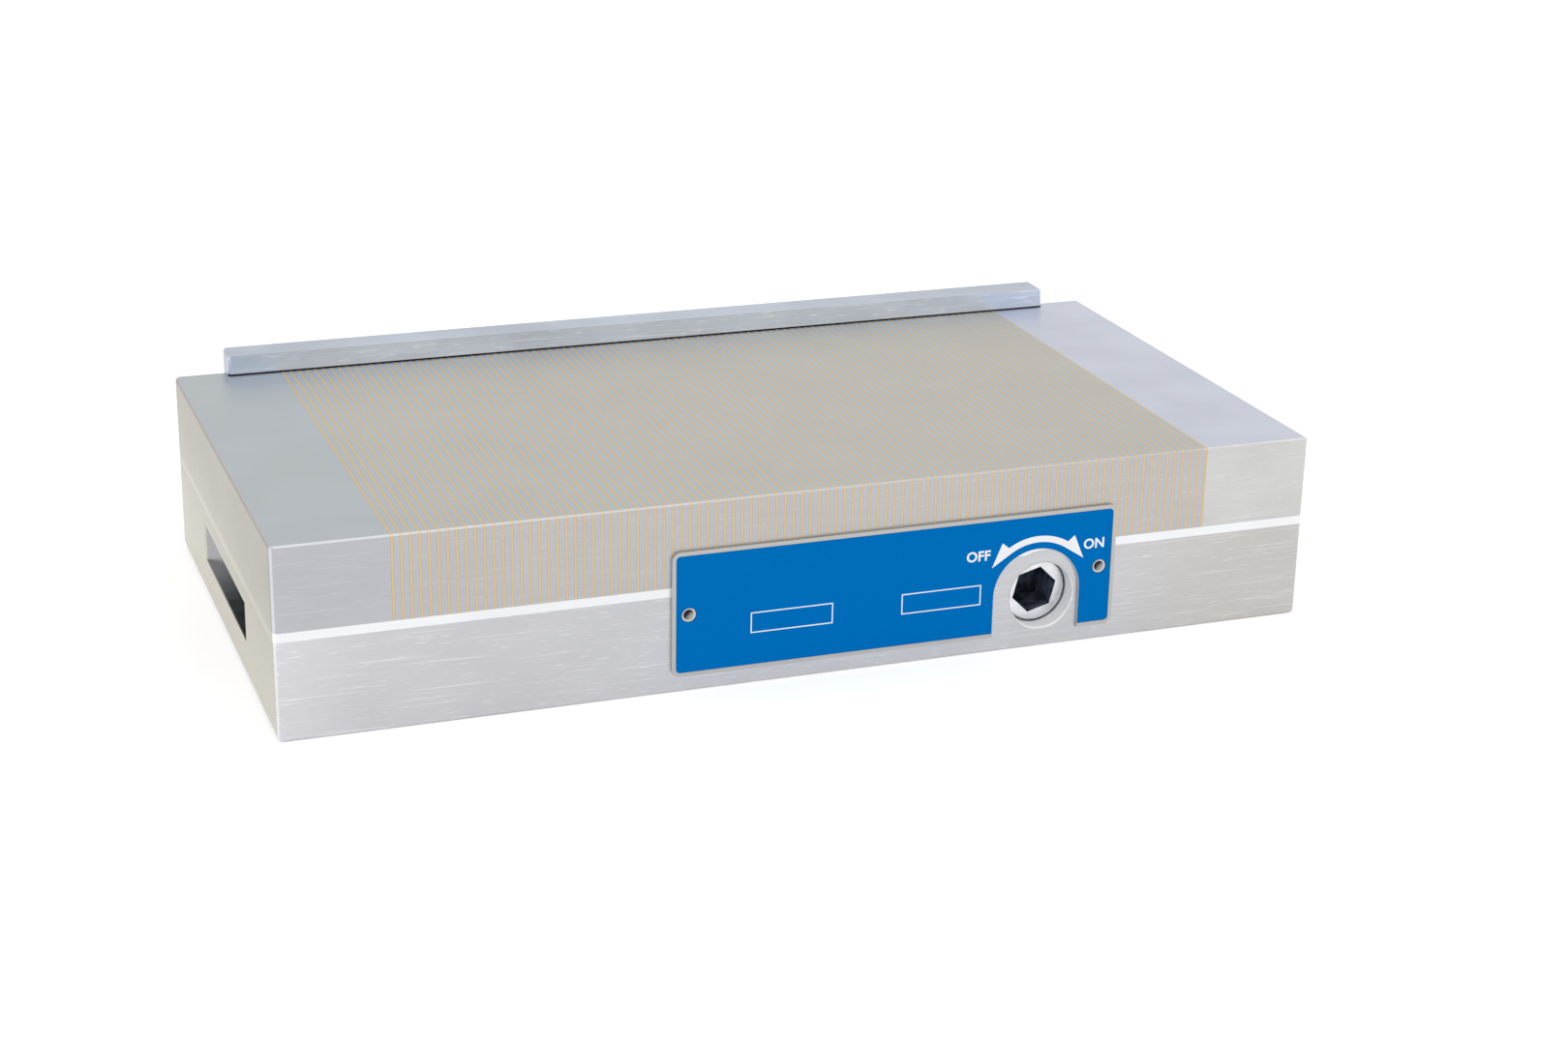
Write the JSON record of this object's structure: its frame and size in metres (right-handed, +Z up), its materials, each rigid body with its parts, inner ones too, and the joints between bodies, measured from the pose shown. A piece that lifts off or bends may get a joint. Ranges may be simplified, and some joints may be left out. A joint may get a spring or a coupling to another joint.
{
  "type": "magnetic chuck",
  "caption": "Low rectangular magnetic chuck with a fine-pole steel and brass top, a back stop rail, clamp slots in both ends and a hex socket in front that switches the magnets.",
  "frame": {"origin": "centre of the base's underside", "axes": "+X right along the length, -Y to the face with the key socket, +Z up through the work face"},
  "size_m": [0.25, 0.1325, 0.0503],
  "materials": {
    "base_steel": "surface-ground",
    "plate_steel": "surface-ground",
    "strip_metal": "ground",
    "brass": "ground flush",
    "rail_steel": "ground, burnished by work",
    "shaft_steel": "turned and polished",
    "black_screw": "black oxide",
    "pin_steel": "hardened and ground",
    "zinc_washer": "zinc plated",
    "bronze": "machined",
    "nameplate_print": "blue print on aluminium",
    "rivet_metal": "bright",
    "seal_rubber": "moulded",
    "carriage_metal": "cast and milled",
    "core_steel": "milled",
    "ferrite": "sintered, ground"
  },
  "bodies": {
    "chuck": {"base_body": "base_steel", "seam_strip": "strip_metal", "left_end_block": "plate_steel", "right_end_block": "plate_steel", "steel_laminations": "plate_steel", "brass_spacers": "brass", "plate_screws": "black_screw", "dowel_pins": "pin_steel", "rail_screws": "black_screw", "rail_washers": "zinc_washer", "shaft_bush": "bronze", "stop_screw": "black_screw", "floor_strips": "brass", "nameplate": "nameplate_print", "nameplate_rivets": "rivet_metal"},
    "cam_shaft": {"eccentric_shaft": "shaft_steel", "shaft_seal_ring": "seal_rubber"},
    "magnet_carriage": {"carriage_frame": "carriage_metal", "fork_liners": "pin_steel", "conductor_bars": "core_steel", "magnets": "ferrite", "side_guides": "brass"},
    "stop_rail": {"back_rail": "rail_steel"}
  },
  "joints": [
    {"name": "key_turn", "type": "hinge", "parent": "chuck", "child": "cam_shaft", "pos_m": [0.056, -0.053, 0.01275], "axis": [0, 1, 0], "range_deg": [0, 180]},
    {"name": "carriage_slide", "type": "slide", "parent": "chuck", "child": "magnet_carriage", "axis": [1, 0, 0], "range_m": [0, 0.00408]},
    {"name": "rail_height", "type": "slide", "parent": "chuck", "child": "stop_rail", "axis": [0, 0, 1], "range_m": [-0.0055, 0]}
  ],
  "couplings": [
    {"joint": "key_turn", "follows": "carriage_slide", "rad_per_m": 769.99}
  ]
}
